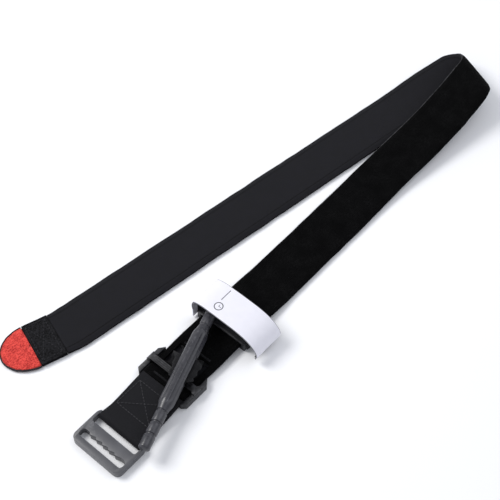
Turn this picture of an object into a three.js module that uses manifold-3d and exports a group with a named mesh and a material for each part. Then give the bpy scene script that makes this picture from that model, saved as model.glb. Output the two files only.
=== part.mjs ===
// A windlass tourniquet, laid out flat with its strap turned back under itself.
// Millimetres, +Z up. +X runs from the buckle to the turn of the strap and +Y points to the returning leg.
// The origin is the middle of the keeper's underside, and z = 0 is the surface that everything lies on.
import * as THREE from "three";
import { mergeVertices } from "three/addons/utils/BufferGeometryUtils.js";
import Module from "manifold-3d";

const wasm = await Module();
wasm.setup();

// ---- Driving dimensions ----
const gap = 0.3; // clearance between pieces that touch
const strapWidth = 37;
const liningThickness = 0.8;
const bandThickness = 1.0;
const faceThickness = 1.2;
const bandWidth = 25;
const seamTapeWidth = 2.8;
const plateThickness = 1.5; // everything under the strap: keeper plate, stabiliser and clip base

const turnX = 340; // where the turn's centre stands
const turnRadius = 10.8; // of the strap's middle layer, along X
const turnSlant = 21; // degrees by which the fold leans from square to the main leg
const turnSlope = 13; // degrees at which the main leg climbs into the turn
const turnRoll = 7; // degrees by which the strap's left edge still stands up where the turn ends
const slantReach = 50; // length each side of the turn over which that lean comes and goes
const settleX = 282; // where the returning leg lies flat again
const swingRate = 0.0004; // how fast the returning leg draws in towards the turn
const riseStart = 170; // where the main leg leaves the surface
const driftStart = 302; // where the main leg begins to sway towards the returning leg
const swayRate = 0.0005; // how fast that sway grows
const sagY = -3.2; // how far the main leg lies aside before it sways back
const returnYaw = 8.9; // degrees between the two legs
const returnAside = 77.5; // how far the returning leg lies from the buckle's middle
const tipX = -46.3; // where the red tab begins
const tipY = 89.5;
const tipYaw = 18.6; // degrees by which the tip points away from the main leg
const plateEnd = 72; // where the strap begins to come down off the plates
const plateRunOut = 32;

const buckleLength = 27.8;
const buckleWidth = 42.4;
const buckleThickness = 5.6;
const buckleOuterBar = 4.6;
const buckleInnerBar = 2.3; // from the inner bar's middle to the frame's end
const buckleOuterSlot = 5.8;
const buckleMiddleBar = 7.2;
const buckleBarRadius = 1.9;
const buckleBarX = -51.8;
const buckleSide = -2; // how far the strap's buckle end lies off the centre line
const buckleSlotWidth = 36.6;
const toothPitch = 5.6;
const toothDepth = 1.2;
const turnbackWidth = 36;
const turnbackThickness = 1;
const turnbackEnd = -11;

const keeperWidth = 44.2;
const keeperBack = -14;
const keeperFront = 13.5;
const keeperBarThickness = 1.8;
const keeperBarWidth = 5;

const stabiliserLength = 29;
const stabiliserWidth = 33;

const rodLength = 128;
const rodMiddleRadius = 5.5;
const rodHandleRadius = 4;
const rodYaw = 19.2; // degrees from +X
const pivotX = 4.5;
const pivotY = -5.2;
const rodSlotLength = 22;
const rodSlotHeight = 3.4;

const clipX = 57;
const clipLength = 21;
const hookLength = 14;
const clipWall = 2.2;
const hookReach = 11.5;
const padThickness = 1.2;
const padLength = 17;
const timeStrapWidth = 25;
const timeStrapThickness = 0.9;
const timeBackingThickness = 0.8;

const openingBack = 4.2; // the opening in the sleeve's face for the inner band
const openingFront = 21;

const tabLength = 21;
const tabWidth = 34;
const tabThickness = 2.2;
const bindingWidth = 1.2;
const patchLength = 19;
const threadWidth = 0.6;
const threadHeight = 0.4;

// ---- Levels and places that follow from them ----
const stackThickness = liningThickness + bandThickness + faceThickness + 2 * gap;
const halfStack = stackThickness / 2;
const liningLow = -halfStack;
const liningHigh = liningLow + liningThickness;
const bandLow = liningHigh + gap;
const bandHigh = bandLow + bandThickness;
const faceLow = bandHigh + gap;
const faceHigh = faceLow + faceThickness;
const plateRise = plateThickness + gap;
const strapTop = plateRise + stackThickness;
const strapMiddle = plateRise + halfStack;
const overStrap = strapTop + gap;
const keeperTop = overStrap + keeperBarThickness;
const rodHeight = keeperTop + 0.4 + rodMiddleRadius;
const rodTop = rodHeight + rodHandleRadius;
const clipInner = strapWidth / 2 + 0.8;
const clipOuter = clipInner + clipWall;
const hookTop = rodTop + 0.5 + clipWall;
const radians = THREE.MathUtils.degToRad;
const smooth = (t) => THREE.MathUtils.smoothstep(t, 0, 1);
const vector = (x, y, z) => new THREE.Vector3(x, y, z);

// ---- Materials ----
const finish = (color, roughness) => new THREE.MeshStandardMaterial({ color, roughness, metalness: 0 });
const greyPlastic = finish(0x56565c, 0.45);
const blackPlastic = finish(0x26262a, 0.45);
const smoothNylon = finish(0x2b2b2e, 0.8);
const loopPile = finish(0x141517, 0.95);
const webbing = finish(0x1c1c1f, 0.85);
const hookTape = finish(0x18181a, 0.9);
const whiteStrap = finish(0xebeaf4, 0.7);
const redFelt = finish(0xda4d48, 0.95);
const blackThread = finish(0x101012, 0.8);

// ---- Solids ----
function solidOf(geometry) {
  const plain = geometry.index ? geometry.toNonIndexed() : geometry.clone();
  plain.deleteAttribute("normal");
  plain.deleteAttribute("uv");
  const merged = mergeVertices(plain, 1e-4);
  return new wasm.Manifold(
    new wasm.Mesh({
      numProp: 3,
      vertProperties: new Float32Array(merged.getAttribute("position").array),
      triVerts: new Uint32Array(merged.index.array),
    }),
  );
}

function geometryOf(solid) {
  const mesh = solid.getMesh();
  const geometry = new THREE.BufferGeometry();
  geometry.setAttribute("position", new THREE.BufferAttribute(mesh.vertProperties, 3));
  geometry.setIndex(new THREE.BufferAttribute(mesh.triVerts, 1));
  return geometry;
}

const join = (...geometries) => geometryOf(geometries.map(solidOf).reduce((all, next) => all.add(next)));
const cut = (geometry, ...tools) =>
  geometryOf(tools.map(solidOf).reduce((left, tool) => left.subtract(tool), solidOf(geometry)));

// A box given by its lowest and highest corners.
function box(low, high) {
  const size = vector(...high).sub(vector(...low));
  const middle = vector(...low).addScaledVector(size, 0.5);
  return new THREE.BoxGeometry(size.x, size.y, size.z).translate(middle.x, middle.y, middle.z);
}

// A flat outline raised from one height to another.
function raised(shape, low, high, curveSegments = 6) {
  const options = { depth: high - low, bevelEnabled: false, curveSegments };
  return new THREE.ExtrudeGeometry(shape, options).translate(0, 0, low);
}

// An outline drawn in Y and Z, pushed along X.
function pushedAlongX(shape, low, high, curveSegments = 6) {
  const geometry = new THREE.ExtrudeGeometry(shape, { depth: high - low, bevelEnabled: false, curveSegments });
  const axes = new THREE.Matrix4().makeBasis(vector(0, 1, 0), vector(0, 0, 1), vector(1, 0, 0));
  return geometry.applyMatrix4(axes).translate(low, 0, 0);
}

// A rectangle with round corners, as a shape or as a hole.
function roundedRectangle(lowX, lowY, highX, highY, radius, Kind = THREE.Shape) {
  const outline = new Kind();
  const quarter = Math.PI / 2;
  outline.absarc(highX - radius, lowY + radius, radius, -quarter, 0);
  outline.absarc(highX - radius, highY - radius, radius, 0, quarter);
  outline.absarc(lowX + radius, highY - radius, radius, quarter, 2 * quarter);
  outline.absarc(lowX + radius, lowY + radius, radius, 2 * quarter, 3 * quarter);
  outline.closePath();
  return outline;
}

// A closed solid through rings that each hold the same number of points.
function loft(rings) {
  const count = rings[0].length;
  const points = rings.flat();
  const faces = [];
  rings.slice(1).forEach((_, i) => {
    for (let k = 0; k < count; k++) {
      const a = i * count + k;
      const b = i * count + ((k + 1) % count);
      faces.push(a, b, b + count, a, b + count, a + count);
    }
  });
  [0, rings.length - 1].forEach((i) => {
    const middle = rings[i].reduce((sum, p) => sum.add(p), vector(0, 0, 0)).divideScalar(count);
    const centre = points.push(middle) - 1;
    for (let k = 0; k < count; k++) {
      const edge = [i * count + k, i * count + ((k + 1) % count)];
      faces.push(centre, ...(i === 0 ? edge.reverse() : edge));
    }
  });
  const volume = faces.reduce((sum, _, i) => {
    if (i % 3) return sum;
    const [a, b, c] = [points[faces[i]], points[faces[i + 1]], points[faces[i + 2]]];
    return sum + a.dot(vector(0, 0, 0).crossVectors(b, c));
  }, 0);
  if (volume < 0) faces.reverse();
  return new THREE.BufferGeometry().setFromPoints(points).setIndex(faces);
}

// ---- The path of the strap's middle layer ----
const returnY = (x) => returnAside - Math.tan(radians(returnYaw)) * x;

function mainLeg(x) {
  const settle = smooth((x - plateEnd) / plateRunOut);
  const climb = Math.max(0, x - riseStart);
  const climbLength = mainEnd - riseStart;
  const lift = (Math.tan(radians(turnSlope)) * climb ** 2) / (2 * climbLength);
  const z = halfStack + plateRise * (1 - settle) + lift;
  const sway = Math.max(0, x - driftStart) ** 2 * swayRate;
  const y = buckleSide * smooth((-5 - x) / 42) + sagY * smooth((x - 215) / 90) + sway;
  return vector(x, y, z);
}

const mainEnd = turnX - turnRadius * Math.sin(radians(turnSlope));
const turnTop = halfStack + (Math.tan(radians(turnSlope)) * (mainEnd - riseStart)) / 2;

// The turn rolls the strap about a level axis that leans, and carries it sideways to the returning leg.
const slant = radians(turnSlant);
const foldAxis = vector(Math.sin(slant), Math.cos(slant), 0);
const foldOut = vector(Math.cos(slant), -Math.sin(slant), 0);
const turnStart = radians(90 + turnSlope);
const turnLength = turnRadius * (turnStart + Math.PI / 2);
const mainHeading = Math.atan(2 * swayRate * (mainEnd - driftStart));
const sideAtStart = turnLength * Math.tan(slant + mainHeading);
const turnFoot = mainLeg(mainEnd).addScaledVector(foldOut, -turnRadius * Math.cos(turnStart));
const swingLength = turnFoot.x - settleX;
function returnSwing(x) {
  const near = Math.min(Math.max(0, x - settleX), swingLength);
  return swingRate * near * (2 * (x - settleX) - near);
}
const endSlope = Math.tan(radians(returnYaw)) + 2 * swingRate * swingLength;
const sideAtEnd = turnLength * Math.tan(Math.atan(endSlope) - slant);
const sideNeeded = returnY(turnFoot.x) - returnSwing(turnFoot.x) - turnFoot.y;
const sideReach = sideNeeded / (foldAxis.y + endSlope * foldAxis.x);
function turnPlan(share) {
  const angle = turnStart - (turnStart + Math.PI / 2) * share;
  const eased = sideReach * share ** 2 * (3 - 2 * share);
  const sideways = eased + sideAtStart * share * (1 - share) ** 2 - sideAtEnd * share ** 2 * (1 - share);
  return turnFoot.clone().addScaledVector(foldOut, turnRadius * Math.cos(angle))
    .addScaledVector(foldAxis, sideways);
}
const turnEnd = turnPlan(1);
const settling = (x) => smooth((x - settleX) / (turnEnd.x - settleX));
const returnRoll = (x) => radians(turnRoll) * settling(x);
const returnZ = (x) => halfStack + (strapWidth / 2) * Math.sin(returnRoll(x));
const turnDepth = (turnTop - returnZ(turnEnd.x)) / (1 + Math.cos(radians(turnSlope)));

function turn(share) {
  const angle = turnStart - (turnStart + Math.PI / 2) * share;
  const point = turnPlan(share);
  point.z = returnZ(turnEnd.x) + turnDepth * (1 + Math.sin(angle));
  return point;
}

// The returning leg runs straight, bends towards the tip and ends straight under the tip's patches.
const tipAlong = vector(-Math.cos(radians(tipYaw)), Math.sin(radians(tipYaw)), 0);
const tipPoint = vector(tipX, tipY, halfStack);
const patchStart = tipPoint.clone().addScaledVector(tipAlong, -patchLength);
const bendSlope = Math.tan(radians(tipYaw)) - Math.tan(radians(returnYaw));
const bendReach = (2 * (patchStart.y - returnY(patchStart.x))) / bendSlope;
const bendStart = patchStart.x + bendReach;
function returnLeg(x) {
  const bent = (bendSlope * Math.max(0, bendStart - x) ** 2) / (2 * bendReach);
  return vector(x, returnY(x) - returnSwing(x) + bent, returnZ(x));
}

// The stations hold a middle point, the direction along the strap and a step of 1 mm across it.
function stationsThrough(points, acrossAt) {
  return points.map((point, i) => {
    const before = points[Math.max(0, i - 1)];
    const after = points[Math.min(points.length - 1, i + 1)];
    const along = after.clone().sub(before).normalize();
    return { point, along, across: acrossAt(i, along) };
  });
}

function steps(from, to, count) {
  return Array.from({ length: count + 1 }, (_, i) => from + ((to - from) * i) / count);
}

const bendOfMain = [...steps(buckleBarX + 4, -2, 8), ...steps(6, plateEnd - 4, 5), ...steps(plateEnd, 104, 5)];
const riseOfMain = [...steps(124, riseStart, 2), ...steps(riseStart + 10, mainEnd - 3, 24)];
const turnSteps = 40;
const sleevePoints = [
  ...[...bendOfMain, ...riseOfMain].map(mainLeg),
  ...steps(0, 1, turnSteps).map(turn),
  ...steps(turnEnd.x - 3, turnEnd.x - slantReach, 14).map(returnLeg),
  ...steps(turnEnd.x - slantReach - 10, bendStart, 11).map(returnLeg),
  ...steps(bendStart - bendReach / 6, patchStart.x, 5).map(returnLeg),
  tipPoint,
];
// Across the strap is level and square to each leg, and leans over to the fold's own axis at the turn.
const leanOfMain = slant + mainHeading;
const leanOfReturn = Math.atan(endSlope) - slant;
const firstOfTurn = bendOfMain.length + riseOfMain.length;
const sleeveStations = stationsThrough(sleevePoints, (i, along) => {
  const share = (i - firstOfTurn) / turnSteps;
  const rolled = radians(turnRoll) * smooth(share);
  if (share >= 0 && share <= 1) {
    const leaning = leanOfMain * (1 - share) - leanOfReturn * share;
    return foldAxis.clone().divideScalar(Math.cos(leaning)).setZ(Math.sin(rolled));
  }
  const heading = along.clone().setZ(0).normalize();
  const side = Math.sign(heading.x);
  const { x } = sleevePoints[i];
  const near = 1 - ((share < 0 ? mainEnd : turnEnd.x) - x) / slantReach;
  const lean = Math.tan((share < 0 ? leanOfMain : leanOfReturn) * smooth(near));
  const square = vector(-heading.y * side, heading.x * side, share < 0 ? 0 : Math.sin(returnRoll(x)));
  return square.addScaledVector(heading, lean);
});
const lengths = sleevePoints.reduce(
  (all, p, i) => [...all, i ? all[i - 1] + p.distanceTo(sleevePoints[i - 1]) : 0],
  [],
);
const sleeveLength = lengths.at(-1);

function stationAt(distance) {
  const i = Math.max(1, lengths.findIndex((length) => length >= distance - 1e-6));
  const share = (distance - lengths[i - 1]) / (lengths[i] - lengths[i - 1]);
  const [a, b] = [sleeveStations[i - 1], sleeveStations[i]];
  const mix = (key) => a[key].clone().lerp(b[key], share);
  return { point: mix("point"), along: mix("along").normalize(), across: mix("across") };
}

// The stations of the strap from one distance along it to another.
function stretch(from, to) {
  const between = sleeveStations.filter((_, i) => lengths[i] > from + 0.5 && lengths[i] < to - 0.5);
  return [stationAt(from), ...between, stationAt(to)];
}

// A strip on the stations, from one place across to another and from one level to another.
function strip(stations, left, right, low, high) {
  return loft(
    stations.map(({ point, along, across }) => {
      const up = vector(0, 0, 0).crossVectors(along, across).normalize();
      const corner = (w, h) => point.clone().addScaledVector(across, w).addScaledVector(up, h);
      return [corner(right, low), corner(left, low), corner(left, high), corner(right, high)];
    }),
  );
}

const alongMain = (x) => x - sleevePoints[0].x; // distance along the strap of a place on the flat main leg
const sleeveEnd = sleeveLength - patchLength - gap;
const half = strapWidth / 2;

// ---- The sleeve ----
const object = new THREE.Group();
function place(name, geometry, material, parent = object) {
  const mesh = new THREE.Mesh(geometry, material);
  mesh.name = name;
  parent.add(mesh);
  return mesh;
}

const faceStart = alongMain(turnbackEnd + 2 * gap);
const opening = box(
  [openingBack, -bandWidth / 2 - 1, plateRise + halfStack],
  [openingFront, bandWidth / 2 + 1, strapTop + 1],
);
const wholeFace = strip(stretch(faceStart, sleeveEnd), half, -half, faceLow, faceHigh);
place("sleeve_face", cut(wholeFace, opening), loopPile);
place("sleeve_lining", strip(stretch(0, sleeveEnd), half, -half, liningLow, liningHigh), smoothNylon);
const tapeInner = half - seamTapeWidth;
place("seam_tape_left", strip(stretch(2, sleeveEnd), half, tapeInner, bandLow, bandHigh), webbing);
place("seam_tape_right", strip(stretch(2, sleeveEnd), -tapeInner, -half, bandLow, bandHigh), webbing);
const halfBand = bandWidth / 2;
const bandBack = alongMain(openingBack + 1);
const bandFront = alongMain(openingFront - 1);
place("inner_band_front", strip(stretch(2, bandBack), halfBand, -halfBand, bandLow, bandHigh), webbing);
place("inner_band_rear", strip(stretch(bandFront, sleeveEnd), halfBand, -halfBand, bandLow, bandHigh), webbing);

// ---- The buckle, hinged on the strap's turned-back end ----
const barZ = strapMiddle;
const buckleFront = buckleBarX + buckleInnerBar;
const buckleBack = buckleFront - buckleLength;
const outerSlotBack = buckleBack + buckleOuterBar;
const outerSlotFront = outerSlotBack + buckleOuterSlot;
const innerSlotBack = outerSlotFront + buckleMiddleBar;
const halfSlot = buckleSlotWidth / 2 + 0.9;

// The middle bar's outer edge carries teeth.
function buckleOutline() {
  const halfWidth = buckleWidth / 2;
  const outline = roundedRectangle(buckleBack, -halfWidth, buckleFront, halfWidth, 4.5);
  const outer = new THREE.Path();
  outer.moveTo(outerSlotBack, -halfSlot + 2);
  outer.quadraticCurveTo(outerSlotBack, -halfSlot, outerSlotBack + buckleOuterSlot / 2, -halfSlot);
  outer.quadraticCurveTo(outerSlotFront, -halfSlot, outerSlotFront, -halfSlot + 2.6);
  const teeth = Math.floor((2 * halfSlot - 8) / toothPitch);
  const firstTooth = (-teeth * toothPitch) / 2;
  outer.lineTo(outerSlotFront, firstTooth);
  steps(0, teeth - 1, teeth - 1).forEach((k) => {
    const y = firstTooth + k * toothPitch;
    outer.lineTo(outerSlotFront - toothDepth, y + toothPitch * 0.75);
    outer.lineTo(outerSlotFront, y + toothPitch);
  });
  outer.lineTo(outerSlotFront, halfSlot - 2.6);
  outer.quadraticCurveTo(outerSlotFront, halfSlot, outerSlotFront - buckleOuterSlot / 2, halfSlot);
  outer.quadraticCurveTo(outerSlotBack, halfSlot, outerSlotBack, halfSlot - 2);
  outer.closePath();
  outline.holes.push(outer);
  return outline;
}

function buckleFrame() {
  const body = raised(buckleOutline(), 0, buckleThickness, 5);
  const innerSlot = roundedRectangle(innerSlotBack, -halfSlot, buckleFront + 3, halfSlot, 1.6);
  const slot = raised(innerSlot, -1, buckleThickness + 1, 4);
  const bar = new THREE.CylinderGeometry(buckleBarRadius, buckleBarRadius, buckleWidth - 3, 16);
  bar.translate(buckleBarX, 0, barZ);
  return join(cut(body, slot), bar);
}
const buckle = place("buckle_frame", buckleFrame(), greyPlastic);
buckle.position.y = buckleSide - 0.3;

// The turned-back end: over the strap, round the bar and back under it.
const wrapInner = buckleBarRadius + gap;
const wrapMiddle = wrapInner + turnbackThickness / 2;
function turnbackPath() {
  const topZ = plateRise + halfStack + faceLow + turnbackThickness / 2;
  const lowZ = plateRise + liningThickness / 2 + 0.1;
  const sideAt = (x) => mainLeg(x).y;
  const top = steps(turnbackEnd, -44, 5).map((x) => vector(x, sideAt(x), topZ));
  const wrap = steps(80, 280, 12).map((angle) => {
    const turned = radians(angle);
    return vector(buckleBarX + wrapMiddle * Math.cos(turned), buckleSide, barZ + wrapMiddle * Math.sin(turned));
  });
  const end = vector(sleevePoints[0].x - 2 * gap, buckleSide, lowZ);
  return [...top, ...wrap, end];
}
const turnbackStations = stationsThrough(turnbackPath(), () => vector(0, -1, 0));
const halfTurnback = turnbackWidth / 2;
const halfSheet = turnbackThickness / 2;
const turnback = strip(turnbackStations, halfTurnback, -halfTurnback, -halfSheet, halfSheet);
place("buckle_turnback", turnback, smoothNylon);

// A run of thread sewn as a box with a cross through it.
function boxStitch(low, high, z) {
  const [middleX, middleY] = [(low[0] + high[0]) / 2, (low[1] + high[1]) / 2];
  const [lengthX, lengthY] = [high[0] - low[0], high[1] - low[1]];
  const slope = lengthY / lengthX;
  const lean = (threadWidth / 2) * Math.hypot(1, slope);
  const [outerX, outerY] = [(lengthX + threadWidth) / 2, (lengthY + threadWidth) / 2];
  const [innerX, innerY] = [outerX - threadWidth, outerY - threadWidth];
  const reachX = (innerY - lean) / slope;
  const reachY = innerX * slope - lean;
  const at = ([x, y]) => new THREE.Vector2(middleX + x, middleY + y);
  const corners = [[-outerX, -outerY], [outerX, -outerY], [outerX, outerY], [-outerX, outerY]];
  const outline = new THREE.Shape(corners.map(at));
  [-1, 1].forEach((side) => {
    const across = [[side * innerX, -reachY], [side * innerX, reachY], [(side * lean) / slope, 0]];
    const along = [[-reachX, side * innerY], [reachX, side * innerY], [0, side * lean]];
    outline.holes.push(new THREE.Path(across.map(at)), new THREE.Path(along.map(at)));
  });
  return raised(outline, z, z + threadHeight);
}
const turnbackTop = plateRise + halfStack + faceLow + turnbackThickness;
const stitchMargin = 3;
const stitchSide = halfTurnback - stitchMargin - 1.5;
place(
  "turnback_stitching",
  boxStitch([-40, -stitchSide + buckleSide / 2], [-18, stitchSide + buckleSide / 2], turnbackTop + gap),
  blackThread,
);

// ---- The keeper, round the strap ----
function keeperFrame() {
  const halfKeeper = keeperWidth / 2;
  const innerSide = strapWidth / 2 + gap;
  const outline = new THREE.Shape();
  const shoulder = 5.5;
  outline.moveTo(keeperBack, -halfKeeper + 3);
  outline.lineTo(keeperBack + 2.5, -halfKeeper);
  outline.lineTo(keeperFront - shoulder, -halfKeeper);
  outline.lineTo(keeperFront, -innerSide + 1);
  outline.lineTo(keeperFront, innerSide - 1);
  outline.lineTo(keeperFront - shoulder, halfKeeper);
  outline.lineTo(keeperBack + 2.5, halfKeeper);
  outline.lineTo(keeperBack, halfKeeper - 3);
  outline.closePath();
  const plate = raised(outline, 0, plateThickness);
  const windows = [-1, 1].map((side) => {
    const [low, high] = [15, innerSide].map((y) => side * y).sort((a, b) => a - b);
    return box([keeperBack + 5, low, -1], [keeperFront - 6, high, plateThickness + 1]);
  });
  const rails = raised(outline, 0, strapTop);
  const passage = box([keeperBack - 1, -innerSide, plateThickness], [keeperFront + 1, innerSide, strapTop + 1]);
  const frame = cut(join(plate, cut(rails, passage)), ...windows);
  const halfBar = keeperBarWidth / 2;
  const bar = box([-halfBar, -halfKeeper + 1, overStrap], [halfBar, halfKeeper - 1, keeperTop]);
  const roots = [-1, 1].map((side) => {
    const [low, high] = [innerSide, halfKeeper - 0.4].map((y) => side * y).sort((a, b) => a - b);
    return box([-halfBar - 1, low, 1], [halfBar + 1, high, keeperTop]);
  });
  const grooves = [-1, 0, 1].map((k) => {
    const middle = k * 1.5;
    return box([middle - 0.3, -innerSide + 3, keeperTop - 0.5], [middle + 0.3, innerSide - 3, keeperTop + 1]);
  });
  return cut(join(frame, bar, ...roots), ...grooves);
}
place("keeper_frame", keeperFrame(), blackPlastic);

const stabiliserBack = keeperFront + gap;
const stabiliserOutline = roundedRectangle(
  stabiliserBack,
  -stabiliserWidth / 2,
  stabiliserBack + stabiliserLength,
  stabiliserWidth / 2,
  6,
);
place("stabiliser_plate", raised(stabiliserOutline, 0, plateThickness), blackPlastic);

// ---- The windlass rod ----
// A round bar that narrows to handles with ring grooves, fluted along its thick middle.
function rodRadius(distance) {
  const reach = Math.abs(distance);
  const end = rodLength / 2 - reach;
  const taper = smooth((reach - 27) / 7);
  const plain = rodMiddleRadius + (rodHandleRadius - rodMiddleRadius) * taper;
  const tip = Math.min(1, Math.sqrt(Math.max(0.02, 1 - (1 - Math.min(end, 2) / 2) ** 2)));
  const ring = ringPlaces.some((place) => Math.abs(reach - place) < 0.6) ? 0.7 : 0;
  return plain * (0.55 + 0.45 * tip) - ring;
}
const ringPlaces = [35, 44, 53];
function windlassRod() {
  const ends = steps(rodLength / 2 - 2, rodLength / 2, 3);
  const rings = ringPlaces.flatMap((place) => [place - 0.9, place - 0.5, place + 0.5, place + 0.9]);
  const positive = [6, 16, 24, 27, 29, 31, 33, ...rings, ...ends];
  const along = [...positive.map((x) => -x).reverse(), 0, ...positive];
  const sides = 24;
  const flutes = 6;
  const bar = loft(
    along.map((x) => {
      const depth = 0.9 * (1 - smooth((Math.abs(x) - 25) / 5));
      return steps(0, sides - 1, sides - 1).map((k) => {
        const angle = (2 * Math.PI * k) / sides;
        const radius = rodRadius(x) - depth * Math.max(0, Math.cos(flutes * angle)) ** 2;
        return vector(x, radius * Math.cos(angle), radius * Math.sin(angle));
      });
    }),
  );
  const halfSlotLength = rodSlotLength / 2;
  const halfSlotHeight = rodSlotHeight / 2;
  return cut(bar, box([-halfSlotLength, -8, -halfSlotHeight], [halfSlotLength, 8, halfSlotHeight]));
}
const rod = place("windlass_rod", windlassRod(), greyPlastic);
rod.position.set(pivotX, pivotY, rodHeight);
rod.rotation.z = radians(rodYaw);

// The inner band leaves the sleeve, passes through the rod's slot and goes back in, with a twist in each leg.
// Each station is a middle point, the yaw of the band's width and that width. The band gathers where it twists.
function windlassLoop() {
  const bandZ = plateRise + halfStack + (bandLow + bandHigh) / 2;
  const yaw = radians(rodYaw);
  const byRod = (along, beside, below) =>
    vector(
      pivotX + along * Math.cos(yaw) - beside * Math.sin(yaw),
      pivotY + along * Math.sin(yaw) + beside * Math.cos(yaw),
      rodHeight - below,
    );
  const stations = [
    [vector(openingBack + 1 + 2 * gap, 0, bandZ), 90, 21],
    [vector(openingBack + 3.2, 0.2, bandZ + 0.5), 90, 19],
    [vector(openingBack + 5, 3.4, bandZ + 2.4), 84, 14],
    [vector(openingBack + 4.8, 5.2, bandZ + 5), 58, 13],
    [byRod(4.2, 8.5, 2.4), 38, 15],
    [byRod(1.5, 7.8, 0.5), rodYaw + 3, 16],
    [byRod(0.3, 6.4, 0), rodYaw, 18],
    [byRod(0, 0, 0), rodYaw, 18],
    [byRod(0, -6.4, 0), rodYaw, 18],
    [byRod(0.6, -8, 0.8), rodYaw, 16],
    [byRod(2, -8.7, 3.2), 15, 14],
    [byRod(4.5, -7.3, 5.7), 0, 12],
    [byRod(8.5, -4.2, 6.9), -25, 12],
    [vector(openingFront - 4.9, -3, bandZ + 2.5), -55, 12],
    [vector(openingFront - 3, -0.7, bandZ + 0.7), -80, 16],
    [vector(openingFront - 1 - 2 * gap, 0, bandZ), -90, 21],
  ];
  const path = new THREE.CatmullRomCurve3(stations.map(([point]) => point), false, "centripetal");
  const perGap = 3;
  const count = (stations.length - 1) * perGap;
  const samples = steps(0, count, count);
  const points = samples.map((k) => path.getPoint(k / count));
  const between = (k, column) => {
    const i = Math.min(stations.length - 2, Math.floor(k / perGap));
    return THREE.MathUtils.lerp(stations[i][column], stations[i + 1][column], k / perGap - i);
  };
  return loft(
    points.map((point, k) => {
      const before = points[Math.max(0, k - 1)];
      const after = points[Math.min(count, k + 1)];
      const along = after.clone().sub(before).normalize();
      const angle = radians(between(k, 1));
      const across = vector(Math.cos(angle), Math.sin(angle), 0);
      const up = vector(0, 0, 0).crossVectors(along, across).normalize();
      const halfWidth = between(k, 2) / 2;
      const halfThick = bandThickness / 2;
      const corner = (w, h) => point.clone().addScaledVector(across, w).addScaledVector(up, h);
      return [
        corner(-halfWidth, -halfThick),
        corner(halfWidth, -halfThick),
        corner(halfWidth, halfThick),
        corner(-halfWidth, halfThick),
      ];
    }),
  );
}
place("windlass_loop", windlassLoop(), webbing);

// Bar tacks across the face at both ends of the opening.
const tackTop = strapTop + gap;
const tack = (x) => box([x - 0.8, -halfBand + 1, tackTop], [x + 0.8, halfBand - 1, tackTop + threadHeight]);
place("slot_tack_rear", tack(openingFront + 2.2), blackThread);
place("slot_tack_front", tack(-7), blackThread);

// ---- The clip: a belt loop round the strap with two hooks that curve in over the rod ----
function clipProfile() {
  const outline = new THREE.Shape();
  const baseTop = overStrap + 1.8;
  const hookUnder = hookTop - clipWall;
  const corner = 4.5;
  outline.moveTo(-clipOuter, 0);
  outline.lineTo(clipOuter, 0);
  outline.lineTo(clipOuter, hookTop - corner);
  outline.quadraticCurveTo(clipOuter, hookTop, clipOuter - corner, hookTop);
  outline.lineTo(clipOuter - hookReach, hookTop);
  outline.lineTo(clipOuter - hookReach - 0.6, hookUnder);
  outline.lineTo(clipInner - 2.2, hookUnder);
  outline.quadraticCurveTo(clipInner, hookUnder, clipInner, hookUnder - 2.2);
  outline.lineTo(clipInner, baseTop);
  outline.lineTo(-clipInner, baseTop);
  outline.lineTo(-clipInner, hookUnder - 2.2);
  outline.quadraticCurveTo(-clipInner, hookUnder, -clipInner + 2.2, hookUnder);
  outline.lineTo(-clipOuter + hookReach + 0.6, hookUnder);
  outline.lineTo(-clipOuter + hookReach, hookTop);
  outline.lineTo(-clipOuter + corner, hookTop);
  outline.quadraticCurveTo(-clipOuter, hookTop, -clipOuter, hookTop - corner);
  outline.closePath();
  return outline;
}
function windlassClip() {
  const whole = pushedAlongX(clipProfile(), clipX - clipLength / 2, clipX + clipLength / 2);
  const side = strapWidth / 2 + gap;
  const passage = box([clipX - 30, -side, plateThickness], [clipX + 30, side, overStrap]);
  const hookZ = overStrap + 1.8;
  const spare = (clipLength - hookLength) / 2;
  const backCut = box([clipX - 30, -30, hookZ], [clipX - clipLength / 2 + spare, 30, hookTop + 1]);
  const frontCut = box([clipX + clipLength / 2 - spare, -30, hookZ], [clipX + 30, 30, hookTop + 1]);
  return cut(whole, passage, backCut, frontCut);
}
place("windlass_clip", windlassClip(), blackPlastic);

const padOuter = clipOuter + gap + padThickness;
const padBox = (side, low, high) => {
  const [from, to] = [side * (clipOuter + gap), side * padOuter].sort((a, b) => a - b);
  return box([clipX - padLength / 2, from, low], [clipX + padLength / 2, to, high]);
};
place("clip_pad_left", padBox(1, 1.2, 12.5), hookTape);
place("clip_pad_right", padBox(-1, 1.2, 12.5), hookTape);

// ---- The time strap, fixed to the left pad and arched over the hooks ----
const anchorMiddle = padOuter + gap + timeStrapThickness / 2;
const hingeZ = 9.2;
const strapBack = clipX - timeStrapWidth / 2;
const strapFront = clipX + timeStrapWidth / 2;
place(
  "time_strap_anchor",
  box(
    [strapBack, padOuter + gap, 1.2],
    [strapFront, padOuter + gap + timeStrapThickness, hingeZ - gap],
  ),
  whiteStrap,
);
const tackX = timeStrapWidth - 7;
place(
  "anchor_tack",
  box(
    [clipX - tackX / 2, padOuter + 2 * gap + timeStrapThickness, 3.4],
    [clipX + tackX / 2, padOuter + 2 * gap + timeStrapThickness + threadHeight, 4.4],
  ),
  blackThread,
);

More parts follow.
